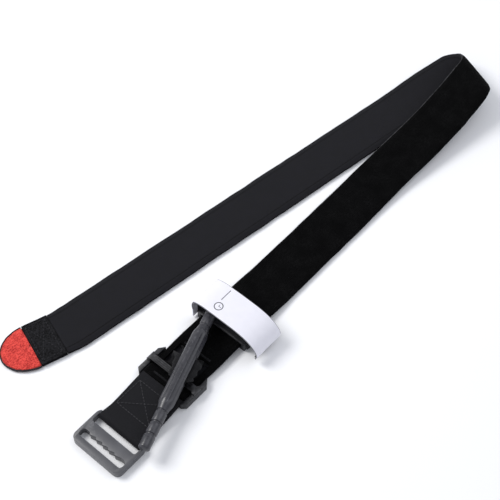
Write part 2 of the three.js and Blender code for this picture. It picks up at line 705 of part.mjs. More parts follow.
const flapUnder = hookTop + gap + timeStrapThickness / 2;
const flapCurve = new THREE.CatmullRomCurve3(
  [
    [anchorMiddle, hingeZ],
    [anchorMiddle + 0.5, hingeZ + 4.5],
    [anchorMiddle - 1.2, flapUnder - 1.6],
    [anchorMiddle - 7.5, flapUnder + 0.7],
    [8, flapUnder + 1.1],
    [-5, flapUnder + 1],
    [-16, flapUnder + 0.5],
    [-24.6, flapUnder - 1.4],
    [-31, flapUnder - 5.4],
    [-34.2, flapUnder - 11],
    [-33.2, flapUnder - 16],
  ].map(([y, z]) => vector(clipX, y, z)),
  false,
  "centripetal",
);
const flapPoints = flapCurve.getPoints(36);
const flapStations = stationsThrough(flapPoints, () => vector(1, 0, 0));
const halfFlap = timeStrapThickness / 2;
const halfTime = timeStrapWidth / 2;
place("time_strap_face", strip(flapStations, halfTime, -halfTime, -halfFlap, halfFlap), whiteStrap);
const backingTop = -halfFlap - gap;
const backingStations = flapStations.slice(-11);
const halfBacking = halfTime - 1;
const backingLow = backingTop - timeBackingThickness;
const backing = strip(backingStations, halfBacking, -halfBacking, backingLow, backingTop);
place("time_strap_backing", backing, hookTape);

// ---- The tip: two patches over the sleeve's end, a rounded red tab and its binding ----
const tipFrame = new THREE.Group();
tipFrame.position.set(tipX, tipY, 0);
tipFrame.rotation.z = Math.PI - radians(tipYaw);
object.add(tipFrame);
const halfPatch = strapWidth / 2 - 1;
const patchBack = -patchLength;
const patchOutline = roundedRectangle(patchBack, -halfPatch, 0, halfPatch, 0.8);
const underTop = 1.3;
const tabLow = underTop + gap;
const topPatchLow = tabLow + 0.7 + gap;
place("tip_patch_under", raised(patchOutline, 0, underTop), hookTape, tipFrame);
place("tip_patch_top", raised(patchOutline, topPatchLow, stackThickness), hookTape, tipFrame);

function tabOutline(grow) {
  const outline = new THREE.Shape();
  const halfTab = tabWidth / 2 + grow;
  outline.moveTo(gap, -halfTab);
  outline.absellipse(gap, 0, tabLength + grow, halfTab, -Math.PI / 2, Math.PI / 2);
  outline.lineTo(gap, halfTab);
  outline.closePath();
  return outline;
}
const tongue = box([patchBack + 4, -tabWidth / 2 + 3, tabLow], [1, tabWidth / 2 - 3, tabLow + 0.7]);
const tabBody = raised(tabOutline(0), 0.7, 0.7 + tabThickness, 10);
place("tip_tab", join(tabBody, tongue), redFelt, tipFrame);
const bindingOuter = raised(tabOutline(gap + bindingWidth), 0.5, 0.9 + tabThickness, 10);
const bindingInner = raised(tabOutline(gap), -1, 2 + tabThickness, 10);
place("tip_binding", cut(bindingOuter, bindingInner), blackThread, tipFrame);
place(
  "tip_stitching",
  boxStitch([patchBack + 2.5, -halfPatch + 2.5], [-2, halfPatch - 2.5], stackThickness + gap),
  blackThread,
  tipFrame,
);

export default object;
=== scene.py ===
# %% [markdown]
# # A windlass tourniquet
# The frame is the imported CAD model: a flat sleeve strap folded back on itself, a buckle, a keeper, a
# windlass rod in a clip, and a white time strap. This notebook gives each piece its looks. Cloth is rebuilt
# as soft sheets along the strap's own path, and moulded pieces are softened copies of their CAD nodes.

# %% Load the frame
import math

import bmesh
import bpy
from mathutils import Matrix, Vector, noise


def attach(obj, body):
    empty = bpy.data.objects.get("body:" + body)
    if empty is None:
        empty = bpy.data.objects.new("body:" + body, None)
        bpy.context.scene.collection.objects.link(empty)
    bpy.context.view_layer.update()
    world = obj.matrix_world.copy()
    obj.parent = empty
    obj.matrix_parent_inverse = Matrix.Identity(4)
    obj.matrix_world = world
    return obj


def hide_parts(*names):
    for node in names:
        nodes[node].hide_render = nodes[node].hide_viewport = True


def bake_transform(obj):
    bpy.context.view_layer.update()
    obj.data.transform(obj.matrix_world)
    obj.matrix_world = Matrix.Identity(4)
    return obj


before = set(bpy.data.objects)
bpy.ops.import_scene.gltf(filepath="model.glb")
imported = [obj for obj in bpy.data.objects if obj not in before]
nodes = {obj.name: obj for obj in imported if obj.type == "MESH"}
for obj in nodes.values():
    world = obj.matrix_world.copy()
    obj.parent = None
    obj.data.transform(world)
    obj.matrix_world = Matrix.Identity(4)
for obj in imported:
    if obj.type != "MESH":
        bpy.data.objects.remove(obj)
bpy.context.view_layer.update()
MM = 0.001
bpy.ops.object.select_all(action="DESELECT")

# %% [markdown]
# ## Camera, floor and light
# The part lies on a white sweep under one big soft lamp, so that the dark cloth keeps its form through
# faint highlights. The camera looks down at 54 degrees. The large lamp stands behind the strap and throws
# short, soft shadows towards the viewer, and a pale world fills them.

# %% Camera
def aim(thing, target):
    thing.rotation_euler = (Vector(target) - thing.location).to_track_quat("-Z", "Y").to_euler()


bpy.ops.object.camera_add(location=(-0.2711, -0.3028, 0.7015))
camera = bpy.context.object
camera.data.lens = 86.4
camera.data.sensor_width = 36
aim(camera, camera.location + Vector((0.4437, 0.3855, -0.8090)))
bpy.context.scene.camera = camera
bpy.context.scene.view_settings.view_transform = "Standard"
print("camera is", round(camera.location.length, 3), "m from the keeper")

# %% Floor
bpy.ops.mesh.primitive_plane_add(size=6, location=(0.15, 0.05, -0.0002))
floor = bpy.context.object
floor.name = "floor"
floor_paint = bpy.data.materials.new("floor_paint")
floor_paint.use_nodes = True
floor_shader = floor_paint.node_tree.nodes["Principled BSDF"]
floor_shader.inputs["Base Color"].default_value = (0.9, 0.905, 0.925, 1)
floor_shader.inputs["Roughness"].default_value = 0.9
floor.data.materials.append(floor_paint)


# %% Lights
def soft_lamp(name, place, target, size, power, colour):
    bpy.ops.object.light_add(type="AREA", location=place)
    lamp = bpy.context.object
    lamp.name = name
    lamp.data.shape = "DISK"
    lamp.data.size = size
    lamp.data.energy = power
    lamp.data.color = colour
    aim(lamp, target)
    return lamp


soft_lamp("key_lamp", (-0.25, 0.85, 1.0), (0.15, 0.04, 0), 0.7, 13, (1, 0.99, 0.97))
soft_lamp("fill_lamp", (0.9, -0.5, 1.3), (0.15, 0.04, 0), 1.4, 5, (0.93, 0.95, 1))
world = bpy.data.worlds.new("studio") if bpy.context.scene.world is None else bpy.context.scene.world
bpy.context.scene.world = world
world.use_nodes = True
world.node_tree.nodes["Background"].inputs["Color"].default_value = (0.93, 0.95, 1, 1)
world.node_tree.nodes["Background"].inputs["Strength"].default_value = 0.62

# %% [markdown]
# ## The strap's path
# Cloth that follows a bent strap needs the strap's own line. The line is worked out from a few sizes, the
# same ones that the CAD source uses: a straight leg, a climb into a turn, the turn, and a leg that comes
# back under it to the tip. Each station holds a point, the way along, the way across, and the way up out of
# the face.

# %% Sizes of the path, in millimetres
STRAP_WIDTH, LINING, BAND, FACE, GAP = 37, 0.8, 1.0, 1.2, 0.3
STACK = LINING + BAND + FACE + 2 * GAP
HALF_STACK = STACK / 2
PLATE_RISE = 1.8
TURN_X, TURN_RADIUS, TURN_SLANT, TURN_SLOPE, TURN_ROLL, SLANT_REACH = 340, 10.8, 21, 13, 7, 50
SETTLE_X, SWING_RATE, RISE_START, PLATE_END, PLATE_RUN_OUT = 282, 0.0004, 170, 72, 32
DRIFT_START, SWAY_RATE, SAG_Y = 302, 0.0005, -3.2
RETURN_YAW, RETURN_ASIDE = 8.9, 77.5
TIP_X, TIP_Y, TIP_YAW, PATCH_LENGTH = -46.3, 89.5, 18.6, 19
BUCKLE_SIDE, BAR_X = -2, -51.8
STRAP_START = BAR_X + 4


def smooth(t):
    t = min(1, max(0, t))
    return t * t * (3 - 2 * t)


def tan(degrees):
    return math.tan(math.radians(degrees))


# %% The main leg
MAIN_END = TURN_X - TURN_RADIUS * math.sin(math.radians(TURN_SLOPE))
CLIMB_LENGTH = MAIN_END - RISE_START


def main_leg(x):
    settle = smooth((x - PLATE_END) / PLATE_RUN_OUT)
    lift = tan(TURN_SLOPE) * max(0, x - RISE_START) ** 2 / (2 * CLIMB_LENGTH)
    sway = max(0, x - DRIFT_START) ** 2 * SWAY_RATE
    y = BUCKLE_SIDE * smooth((-5 - x) / 42) + SAG_Y * smooth((x - 215) / 90) + sway
    return Vector((x, y, HALF_STACK + PLATE_RISE * (1 - settle) + lift))


# %% The turn rolls about a level axis that leans, and slides along it to meet the returning leg
def return_y(x):
    return RETURN_ASIDE - tan(RETURN_YAW) * x


SLANT = math.radians(TURN_SLANT)
FOLD_AXIS = Vector((math.sin(SLANT), math.cos(SLANT), 0))
FOLD_OUT = Vector((math.cos(SLANT), -math.sin(SLANT), 0))
TURN_START = math.radians(90 + TURN_SLOPE)
TURN_LENGTH = TURN_RADIUS * (TURN_START + math.pi / 2)
LEAN_OF_MAIN = SLANT + math.atan(2 * SWAY_RATE * (MAIN_END - DRIFT_START))
TURN_FOOT = main_leg(MAIN_END) - FOLD_OUT * TURN_RADIUS * math.cos(TURN_START)
SWING_LENGTH = TURN_FOOT.x - SETTLE_X
END_SLOPE = tan(RETURN_YAW) + 2 * SWING_RATE * SWING_LENGTH
LEAN_OF_RETURN = math.atan(END_SLOPE) - SLANT


def return_swing(x):
    near = min(max(0, x - SETTLE_X), SWING_LENGTH)
    return SWING_RATE * near * (2 * (x - SETTLE_X) - near)


SIDE_NEEDED = return_y(TURN_FOOT.x) - return_swing(TURN_FOOT.x) - TURN_FOOT.y
SIDE_REACH = SIDE_NEEDED / (FOLD_AXIS.y + END_SLOPE * FOLD_AXIS.x)


def turn_angle(share):
    return TURN_START - (TURN_START + math.pi / 2) * share


def turn_plan(share):
    eased = SIDE_REACH * share**2 * (3 - 2 * share)
    leaving = TURN_LENGTH * math.tan(LEAN_OF_MAIN) * share * (1 - share) ** 2
    arriving = TURN_LENGTH * math.tan(LEAN_OF_RETURN) * share**2 * (1 - share)
    out = TURN_RADIUS * math.cos(turn_angle(share))
    return TURN_FOOT + FOLD_OUT * out + FOLD_AXIS * (eased + leaving - arriving)


RETURN_X = turn_plan(1).x


def return_roll(x):
    return math.radians(TURN_ROLL) * smooth((x - SETTLE_X) / (RETURN_X - SETTLE_X))


def return_z(x):
    return HALF_STACK + STRAP_WIDTH / 2 * math.sin(return_roll(x))


TURN_TOP = HALF_STACK + tan(TURN_SLOPE) * CLIMB_LENGTH / 2
TURN_DEPTH = (TURN_TOP - return_z(RETURN_X)) / (1 + math.cos(math.radians(TURN_SLOPE)))


def turn(share):
    point = turn_plan(share)
    point.z = return_z(RETURN_X) + TURN_DEPTH * (1 + math.sin(turn_angle(share)))
    return point


tip_yaw = math.radians(TIP_YAW)
TIP_ALONG = Vector((-math.cos(tip_yaw), math.sin(tip_yaw), 0))
TIP_POINT = Vector((TIP_X, TIP_Y, HALF_STACK))
PATCH_START = TIP_POINT - TIP_ALONG * PATCH_LENGTH
BEND_SLOPE = tan(TIP_YAW) - tan(RETURN_YAW)
BEND_REACH = 2 * (PATCH_START.y - return_y(PATCH_START.x)) / BEND_SLOPE
BEND_START = PATCH_START.x + BEND_REACH


def return_leg(x):
    bent = max(0, BEND_START - x)
    y = return_y(x) - return_swing(x) + BEND_SLOPE * bent**2 / (2 * BEND_REACH)
    return Vector((x, y, return_z(x)))


# %% The stations
def steps(start, end, count):
    return [start + (end - start) * i / count for i in range(count + 1)]


TURN_STEPS = 64
main_points = [main_leg(x) for x in steps(STRAP_START, MAIN_END - 2, 130)]
turn_points = [turn(share) for share in steps(0, 1, TURN_STEPS)]
back_points = [return_leg(x) for x in steps(RETURN_X - 1.5, PATCH_START.x, 130)]
path_points = main_points + turn_points + back_points + [TIP_POINT]


def stations_through(points, across_at):
    stations, distance = [], 0
    for i, point in enumerate(points):
        before, after = points[max(0, i - 1)], points[min(len(points) - 1, i + 1)]
        distance += (point - before).length
        along = (after - before).normalized()
        across = across_at(i, along)
        stations.append((point, across, along.cross(across).normalized(), distance))
    return stations


def across_of_strap(i, along):
    """Square to each leg, and leaning over to the fold's own axis in the turn."""
    share = (i - len(main_points)) / TURN_STEPS
    if 0 <= share <= 1:
        leaning = LEAN_OF_MAIN * (1 - share) - LEAN_OF_RETURN * share
        across = FOLD_AXIS / math.cos(leaning)
        across.z = math.sin(math.radians(TURN_ROLL) * smooth(share))
        return across
    heading = Vector((along.x, along.y, 0)).normalized()
    side = math.copysign(1, heading.x)
    x = path_points[i].x
    near = 1 - ((MAIN_END if share < 0 else RETURN_X) - x) / SLANT_REACH
    lean = math.tan((LEAN_OF_MAIN if share < 0 else LEAN_OF_RETURN) * smooth(near))
    roll = 0 if share < 0 else math.sin(return_roll(x))
    return Vector((-heading.y * side, heading.x * side, roll)) + heading * lean


STRAP = stations_through(path_points, across_of_strap)
STRAP_LENGTH = STRAP[-1][3]
print("strap length, mm:", round(STRAP_LENGTH, 1), "in", len(STRAP), "stations")


def stretch(start, end):
    """The strap's stations from one distance along it to another, with one at each end."""
    def between(distance):
        k = next(k for k, s in enumerate(STRAP) if s[3] >= distance or k == len(STRAP) - 1)
        a, b = STRAP[max(0, k - 1)], STRAP[k]
        share = 0 if b[3] == a[3] else (distance - a[3]) / (b[3] - a[3])
        return (*(a[j].lerp(b[j], share) for j in range(3)), distance)

    inner = [s for s in STRAP if start + 0.3 < s[3] < end - 0.3]
    return [between(start), *inner, between(end)]


# %% [markdown]
# ## Shader groups
# Several finishes share an effect, so each effect is a node group with named inputs, built once. The weave
# crosses two sets of threads on the cloth's own UV map. The grain is the fine spark-eroded texture of a
# mould. The wear group pales the sharp edges that hands and webbing rub.

# %% Group helpers
def new_group(name, inputs, outputs):
    group = bpy.data.node_groups.new(name, "ShaderNodeTree")
    for label, kind, value in inputs:
        socket = group.interface.new_socket(name=label, in_out="INPUT", socket_type=kind)
        if value is not None:
            socket.default_value = value
    for label, kind in outputs:
        group.interface.new_socket(name=label, in_out="OUTPUT", socket_type=kind)
    return group, group.nodes.new("NodeGroupInput"), group.nodes.new("NodeGroupOutput")


def plug(tree, value, socket):
    """Links a socket, or sets a plain value."""
    if isinstance(value, bpy.types.NodeSocket):
        tree.links.new(value, socket)
    else:
        socket.default_value = value


def math_node(tree, operation, first, second=0.0):
    node = tree.nodes.new("ShaderNodeMath")
    node.operation = operation
    plug(tree, first, node.inputs[0])
    plug(tree, second, node.inputs[1])
    return node.outputs[0]


def noise_node(tree, vector, scale, detail=3.0):
    node = tree.nodes.new("ShaderNodeTexNoise")
    plug(tree, vector, node.inputs["Vector"])
    plug(tree, scale, node.inputs["Scale"])
    node.inputs["Detail"].default_value = detail
    return node.outputs["Fac"]


def span_node(tree, value, low, high, new_low=0.0, new_high=1.0):
    node = tree.nodes.new("ShaderNodeMapRange")
    for socket, number in zip(node.inputs, (value, low, high, new_low, new_high)):
        plug(tree, number, socket)
    return node.outputs["Result"]


FLOAT, VECTOR = "NodeSocketFloat", "NodeSocketVector"

# %% Weave: two sets of threads that pass over and under each other
weave, entry, leave = new_group(
    "Weave",
    [("Vector", VECTOR, None), ("Across", FLOAT, 10.0), ("Along", FLOAT, 10.0)],
    [("Height", FLOAT), ("Over", FLOAT)],
)
parts = weave.nodes.new("ShaderNodeSeparateXYZ")
weave.links.new(entry.outputs["Vector"], parts.inputs[0])
thread_u = math_node(weave, "MULTIPLY", parts.outputs["X"], entry.outputs["Across"])
thread_v = math_node(weave, "MULTIPLY", parts.outputs["Y"], entry.outputs["Along"])
cells = math_node(weave, "ADD", math_node(weave, "FLOOR", thread_u), math_node(weave, "FLOOR", thread_v))
over = math_node(weave, "PINGPONG", cells, 1.0)


def rounded(thread):
    turned = math_node(weave, "MULTIPLY", thread, math.pi)
    return math_node(weave, "ABSOLUTE", math_node(weave, "SINE", turned))


round_u, round_v = rounded(thread_u), rounded(thread_v)
upper = math_node(weave, "MULTIPLY", round_u, over)
lower = math_node(weave, "MULTIPLY", round_v, math_node(weave, "SUBTRACT", 1.0, over))
weave.links.new(math_node(weave, "ADD", upper, lower), leave.inputs["Height"])
weave.links.new(over, leave.inputs["Over"])

# %% Grain: a mould's fine texture, with slow shifts in how it shines
grain, entry, leave = new_group(
    "Mould Grain",
    [("Vector", VECTOR, None), ("Scale", FLOAT, 2500.0)],
    [("Height", FLOAT), ("Shift", FLOAT)],
)
fine = noise_node(grain, entry.outputs["Vector"], entry.outputs["Scale"], 2.0)
slow_scale = math_node(grain, "MULTIPLY", entry.outputs["Scale"], 0.03)
grain.links.new(fine, leave.inputs["Height"])
grain.links.new(noise_node(grain, entry.outputs["Vector"], slow_scale, 4.0), leave.inputs["Shift"])

# %% Wear: sharp edges, broken up so that no edge is pale all along
wear, entry, leave = new_group(
    "Edge Wear", [("Vector", VECTOR, None), ("Amount", FLOAT, 1.0)], [("Mask", FLOAT)]
)
geometry = wear.nodes.new("ShaderNodeNewGeometry")
sharp = span_node(wear, geometry.outputs["Pointiness"], 0.52, 0.6)
broken = span_node(wear, noise_node(wear, entry.outputs["Vector"], 420.0, 4.0), 0.42, 0.62)
rubbed = math_node(wear, "MULTIPLY", sharp, broken)
wear.links.new(math_node(wear, "MULTIPLY", rubbed, entry.outputs["Amount"]), leave.inputs["Mask"])
print("node groups:", [g.name for g in bpy.data.node_groups])


# %% [markdown]
# ## Materials
# Each finish is its own material with one Principled shader. Colour, roughness and a bump come from nodes,
# and what is the same all over, such as the sheen of cloth, is set on the shader itself. Cloth reads the UV
# map, which runs in steps of ten millimetres along the strap, and plastic reads Object coordinates.

# %% Material helpers
def new_finish(name):
    finish = bpy.data.materials.new(name)
    finish.use_nodes = True
    tree = finish.node_tree
    coordinates = tree.nodes.new("ShaderNodeTexCoord")
    return finish, tree, tree.nodes["Principled BSDF"], coordinates


def group_node(tree, group, **values):
    node = tree.nodes.new("ShaderNodeGroup")
    node.node_tree = group
    for label, value in values.items():
        plug(tree, value, node.inputs[label])
    return node


def mix_colour(tree, share, first, second):
    node = tree.nodes.new("ShaderNodeMix")
    node.data_type = "RGBA"
    plug(tree, share, node.inputs["Factor"])
    plug(tree, first if isinstance(first, bpy.types.NodeSocket) else (*first, 1), node.inputs["A"])
    plug(tree, second if isinstance(second, bpy.types.NodeSocket) else (*second, 1), node.inputs["B"])
    return node.outputs["Result"]


def bump(tree, shader, height, depth, strength=1.0):
    node = tree.nodes.new("ShaderNodeBump")
    node.inputs["Distance"].default_value = depth
    node.inputs["Strength"].default_value = strength
    plug(tree, height, node.inputs["Height"])
    tree.links.new(node.outputs["Normal"], shader.inputs["Normal"])


# %% Moulded plastic, in two colours
def moulded_plastic(name, colour, worn, roughness):
    finish, tree, shader, coordinates = new_finish(name)
    place = coordinates.outputs["Object"]
    texture = group_node(tree, grain, Vector=place, Scale=2600.0)
    rubbed = group_node(tree, wear, Vector=place, Amount=0.7)
    shade = span_node(tree, texture.outputs["Shift"], 0.3, 0.7, 0.0, 1.0)
    body = mix_colour(tree, shade, [c * 0.86 for c in colour], [c * 1.14 for c in colour])
    plug(tree, mix_colour(tree, rubbed.outputs["Mask"], body, worn), shader.inputs["Base Color"])
    plug(tree, span_node(tree, texture.outputs["Shift"], 0.3, 0.7, roughness - 0.06, roughness + 0.08),
         shader.inputs["Roughness"])
    shader.inputs["Specular IOR Level"].default_value = 0.5
    bump(tree, shader, texture.outputs["Height"], 0.00006, 0.6)
    return finish


buckle_grey = moulded_plastic("buckle_grey", (0.07, 0.071, 0.08), (0.19, 0.19, 0.2), 0.36)
rod_grey = moulded_plastic("rod_grey", (0.03, 0.03, 0.037), (0.13, 0.13, 0.145), 0.3)
black_plastic = moulded_plastic("black_plastic", (0.008, 0.008, 0.01), (0.05, 0.05, 0.055), 0.42)


# %% Woven cloth: the smooth nylon, the ribbed webbing and the white strap
def woven_cloth(name, dark, light, across, along, depth, roughness, sheen, hem=0.0):
    """hem is the place of a line of sunk stitches from the middle, in steps of ten millimetres."""
    finish, tree, shader, coordinates = new_finish(name)
    cloth = coordinates.outputs["UV"]
    threads = group_node(tree, weave, Vector=cloth, Across=across, Along=along)
    mottle = span_node(tree, noise_node(tree, cloth, 1.4, 5.0), 0.3, 0.7)
    shade = math_node(tree, "ADD", math_node(tree, "MULTIPLY", threads.outputs["Height"], 0.55),
                      math_node(tree, "MULTIPLY", mottle, 0.45))
    height = threads.outputs["Height"]
    ground = mix_colour(tree, shade, dark, light)
    if hem:
        place = tree.nodes.new("ShaderNodeSeparateXYZ")
        tree.links.new(cloth, place.inputs[0])
        away = math_node(tree, "ABSOLUTE", math_node(tree, "SUBTRACT", math_node(
            tree, "ABSOLUTE", place.outputs["X"]), hem))
        line = span_node(tree, away, 0.02, 0.05, 1.0, 0.0)
        stitch = span_node(tree, math_node(tree, "PINGPONG", place.outputs["Y"], 0.14), 0.02, 0.05)
        sunk = math_node(tree, "MULTIPLY", line, span_node(tree, stitch, 0.0, 1.0, 0.45, 1.0))
        ground = mix_colour(tree, sunk, ground, [c * 0.35 for c in dark])
        height = math_node(tree, "SUBTRACT", height, math_node(tree, "MULTIPLY", sunk, 3.0))
    plug(tree, ground, shader.inputs["Base Color"])
    plug(tree, span_node(tree, mottle, 0.0, 1.0, roughness, roughness + 0.1), shader.inputs["Roughness"])
    shader.inputs["Sheen Weight"].default_value = sheen
    shader.inputs["Sheen Roughness"].default_value = 0.5
    shader.inputs["Specular IOR Level"].default_value = 0.14
    bump(tree, shader, height, depth)
    return finish


sleeve_nylon = woven_cloth(
    "sleeve_nylon", (0.0035, 0.0035, 0.005), (0.0098, 0.0096, 0.013), 24.0, 20.0, 0.00009, 0.6, 0.02, hem=1.4
)
nylon = woven_cloth(
    "smooth_nylon", (0.0045, 0.0045, 0.006), (0.0085, 0.0085, 0.011), 18.0, 18.0, 0.0001, 0.6, 0.03
)
webbing = woven_cloth("webbing", (0.006, 0.006, 0.007), (0.013, 0.013, 0.015), 8.0, 14.0, 0.0002, 0.75, 0.05)
white_tape = woven_cloth(
    "white_tape", (0.74, 0.735, 0.81), (0.8, 0.795, 0.87), 26.0, 26.0, 0.00004, 0.55, 0.0
)


# %% Loop pile: rows of tiny loops that stand out of the weave
def loop_pile(name, dark, light):
    finish, tree, shader, coordinates = new_finish(name)
    cloth = coordinates.outputs["UV"]
    loops = tree.nodes.new("ShaderNodeTexVoronoi")
    tree.links.new(cloth, loops.inputs["Vector"])
    loops.inputs["Scale"].default_value = 8.0
    loops.inputs["Randomness"].default_value = 0.55
    rows = group_node(tree, weave, Vector=cloth, Across=9.0, Along=16.0)
    mound = math_node(tree, "SUBTRACT", 1.0, loops.outputs["Distance"])
    height = math_node(tree, "ADD", mound, math_node(tree, "MULTIPLY", rows.outputs["Height"], 0.5))
    patches = span_node(tree, noise_node(tree, cloth, 0.9, 4.0), 0.35, 0.7)
    shade = math_node(tree, "MULTIPLY", span_node(tree, height, 0.6, 1.5), patches)
    ground = mix_colour(tree, shade, dark, light)
    across = tree.nodes.new("ShaderNodeSeparateXYZ")
    tree.links.new(cloth, across.inputs[0])
    # Painted highlight: a pale line along the +Y edge only, where the rolled edge faces the key lamp, broken
    # up by noise.
    lamp_side_edge_highlight = span_node(tree, across.outputs["X"], 1.75, 1.79)
    broken = span_node(tree, noise_node(tree, cloth, 7.0, 3.0), 0.3, 0.6, 0.25, 1.0)
    plug(tree, mix_colour(tree, math_node(tree, "MULTIPLY", lamp_side_edge_highlight, broken), ground, (0.1, 0.1, 0.105)),
         shader.inputs["Base Color"])
    plug(tree, span_node(tree, patches, 0.0, 1.0, 0.82, 0.95), shader.inputs["Roughness"])
    shader.inputs["Specular IOR Level"].default_value = 0.06
    bump(tree, shader, height, 0.0007)
    return finish


pile = loop_pile("loop_pile", (0.0008, 0.0008, 0.001), (0.0125, 0.0125, 0.013))


# %% Hook tape and felt
def bristled(name, dark, light, scale, depth, sheen):
    finish, tree, shader, coordinates = new_finish(name)
    place = coordinates.outputs["Object"]
    clumps = noise_node(tree, place, scale * 0.22, 4.0)
    fibres = tree.nodes.new("ShaderNodeTexVoronoi")
    tree.links.new(place, fibres.inputs["Vector"])
    fibres.inputs["Scale"].default_value = scale
    shade = span_node(tree, math_node(tree, "ADD", clumps, fibres.outputs["Distance"]), 0.55, 1.25)
    plug(tree, mix_colour(tree, shade, dark, light), shader.inputs["Base Color"])
    plug(tree, span_node(tree, clumps, 0.3, 0.7, 0.85, 0.98), shader.inputs["Roughness"])
    shader.inputs["Sheen Weight"].default_value = sheen
    shader.inputs["Specular IOR Level"].default_value = 0.12
    bump(tree, shader, math_node(tree, "ADD", fibres.outputs["Distance"], clumps), depth)
    return finish


hook_tape = bristled("hook_tape", (0.006, 0.006, 0.007), (0.017, 0.017, 0.019), 1300.0, 0.0003, 0.05)
felt = bristled("red_felt", (0.36, 0.018, 0.016), (0.74, 0.075, 0.06), 900.0, 0.0006, 0.12)
thread_black = bristled("black_thread", (0.008, 0.008, 0.009), (0.03, 0.03, 0.034), 4000.0, 0.00008, 0.1)
thread_grey = bristled("grey_thread", (0.02, 0.02, 0.023), (0.06, 0.06, 0.066), 4000.0, 0.00008, 0.15)


# %% The time strap's cloth, with a printed clock face and a line to write on
def marked_tape(name, ground, ink, clock_at, line_at):
    finish, tree, shader, coordinates = new_finish(name)
    cloth = coordinates.outputs["UV"]
    threads = group_node(tree, weave, Vector=cloth, Across=22.0, Along=22.0)
    mottle = span_node(tree, noise_node(tree, cloth, 2.0, 4.0), 0.3, 0.7)
    place = tree.nodes.new("ShaderNodeSeparateXYZ")
    tree.links.new(cloth, place.inputs[0])
    u, v = place.outputs["X"], place.outputs["Y"]

    def box_mask(left, right, low, high):
        inside_u = math_node(tree, "COMPARE", u, (left + right) / 2)
        inside_u.node.inputs[2].default_value = (right - left) / 2
        inside_v = math_node(tree, "COMPARE", v, (low + high) / 2)
        inside_v.node.inputs[2].default_value = (high - low) / 2
        return math_node(tree, "MULTIPLY", inside_u, inside_v)

    centre_u, centre_v = clock_at
    across = math_node(tree, "SUBTRACT", u, centre_u)
    along = math_node(tree, "SUBTRACT", v, centre_v)
    spread = math_node(tree, "ADD", math_node(tree, "MULTIPLY", across, across),
                       math_node(tree, "MULTIPLY", along, along))
    ring = math_node(tree, "COMPARE", math_node(tree, "SQRT", spread), 0.3)
    ring.node.inputs[2].default_value = 0.035
    long_hand = box_mask(centre_u - 0.022, centre_u + 0.022, centre_v - 0.02, centre_v + 0.2)
    short_hand = box_mask(centre_u - 0.02, centre_u + 0.15, centre_v - 0.022, centre_v + 0.022)
    hands = math_node(tree, "MAXIMUM", long_hand, short_hand)
    rule = box_mask(line_at[0], line_at[1], centre_v - 0.24, centre_v - 0.18)
    edge = math_node(tree, "GREATER_THAN", math_node(tree, "ABSOLUTE", u), 1.212)
    printed = math_node(tree, "MAXIMUM", math_node(tree, "MAXIMUM", ring, hands), rule)
    paint = mix_colour(tree, mottle, [c * 0.97 for c in ground], ground)
    paint = mix_colour(tree, math_node(tree, "MULTIPLY", printed, 0.92), paint, ink)
    paint = mix_colour(tree, math_node(tree, "MULTIPLY", edge, 0.75), paint, ink)
    plug(tree, paint, shader.inputs["Base Color"])
    plug(tree, span_node(tree, mottle, 0.0, 1.0, 0.5, 0.6), shader.inputs["Roughness"])
    bump(tree, shader, threads.outputs["Height"], 0.00004)
    return finish


time_tape = marked_tape("time_tape", (0.8, 0.795, 0.87), (0.03, 0.03, 0.035), (-0.5, 2.75), (0.0, 1.0))
patch_tape = bristled("patch_tape", (0.001, 0.001, 0.0012), (0.014, 0.014, 0.016), 800.0, 0.0005, 0.0)
print("materials:", len(bpy.data.materials))


# %% [markdown]
# ## Cloth sheets
# A strap is a long narrow sheet, so it is a grid laid along the stations: a row for each station and a
# column for each place across. Its edges roll a little towards the seam, its surface ripples by a fraction
# of a millimetre as sewn layers do, and Solidify gives it its thickness. The UV map runs along and across
# the cloth, so that the weave bends with it.

# %% The sheet maker
def ripple(distance, across, depth):
    """A soft unevenness that every layer of the strap shares."""
    slow = noise.noise(Vector((distance / 24, across / 60, 3.1)))
    quick = noise.noise(Vector((distance / 9, across / 16, 8.4)))
    return depth * (0.7 * slow + 0.3 * quick)


def grid_mesh(name, rows, uvs):
    """A sheet through rows of points in millimetres, with a UV for each point."""
    mesh = bpy.data.meshes.new(name)
    build = bmesh.new()
    layer = build.loops.layers.uv.new("cloth")
    grid = [[build.verts.new(point * MM) for point in row] for row in rows]
    for i in range(len(rows) - 1):
        for k in range(len(rows[0]) - 1):
            corners = [(i, k), (i, k + 1), (i + 1, k + 1), (i + 1, k)]
            face = build.faces.new([grid[a][b] for a, b in corners])
            face.smooth = True
            for loop, (a, b) in zip(face.loops, corners):
                loop[layer].uv = uvs[a][b]
    build.to_mesh(mesh)
    build.free()
    piece = bpy.data.objects.new(name, mesh)
    bpy.context.collection.objects.link(piece)
    return piece


def apply_all(piece):
    bpy.ops.object.select_all(action="DESELECT")
    piece.select_set(True)
    bpy.context.view_layer.objects.active = piece
    for modifier in list(piece.modifiers):
        bpy.ops.object.modifier_apply(modifier=modifier.name)


def thicken(piece, thickness, rim=True):
    """Gives a sheet its thickness in metres, half to each side, with its rim rounded by a small bevel."""
    solid = piece.modifiers.new("thickness", "SOLIDIFY")
    solid.thickness = thickness
    solid.offset = 0
    if rim:
        edge = piece.modifiers.new("rim", "BEVEL")
        edge.width = thickness * 0.32
        edge.segments = 2
        edge.limit_method = "ANGLE"
        edge.angle_limit = math.radians(50)
    apply_all(piece)
    return piece


def sheet_along(name, stations, columns, level_at, thickness, paint, width_at=lambda d: 1.0):
    """A cloth strip on stations. level_at gives the height at a distance along and a place across."""
    rows, uvs = [], []
    for point, across, up, distance in stations:
        places = [w * width_at(distance) for w in columns]
        rows.append([point + across * w + up * level_at(distance, w) for w in places])
        uvs.append([(w / 10, distance / 10) for w in places])
    piece = grid_mesh(name, rows, uvs)
    piece.data.materials.append(paint)
    thicken(piece, thickness * MM)
    return piece


